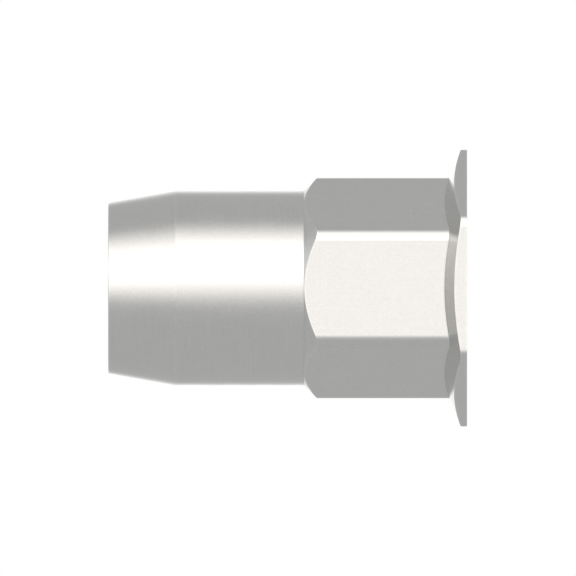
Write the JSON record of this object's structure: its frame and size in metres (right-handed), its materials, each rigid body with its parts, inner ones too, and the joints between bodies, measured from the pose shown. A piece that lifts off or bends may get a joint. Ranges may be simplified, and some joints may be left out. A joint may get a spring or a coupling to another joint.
{
  "type": "rivet nut",
  "caption": "Blind rivet nut with a half-hexagon body, open tapered tail, tapped barrel and small hexagonal head, set from one side of a sheet to give it a strong metric thread.",
  "frame": {"origin": "centre of the head's outer face, which the nut stands on", "axes": "+Z along the axis from the head to the tail; +X through two corners of the hexagon; +Y square to two of its flats"},
  "size_m": [0.0128, 0.0112, 0.0166],
  "materials": {
    "satin_steel": "satin bright steel, turned on the barrel and drawn on the flats"
  },
  "bodies": {
    "root": {"rivet_nut": "satin_steel"}
  },
  "joints": []
}
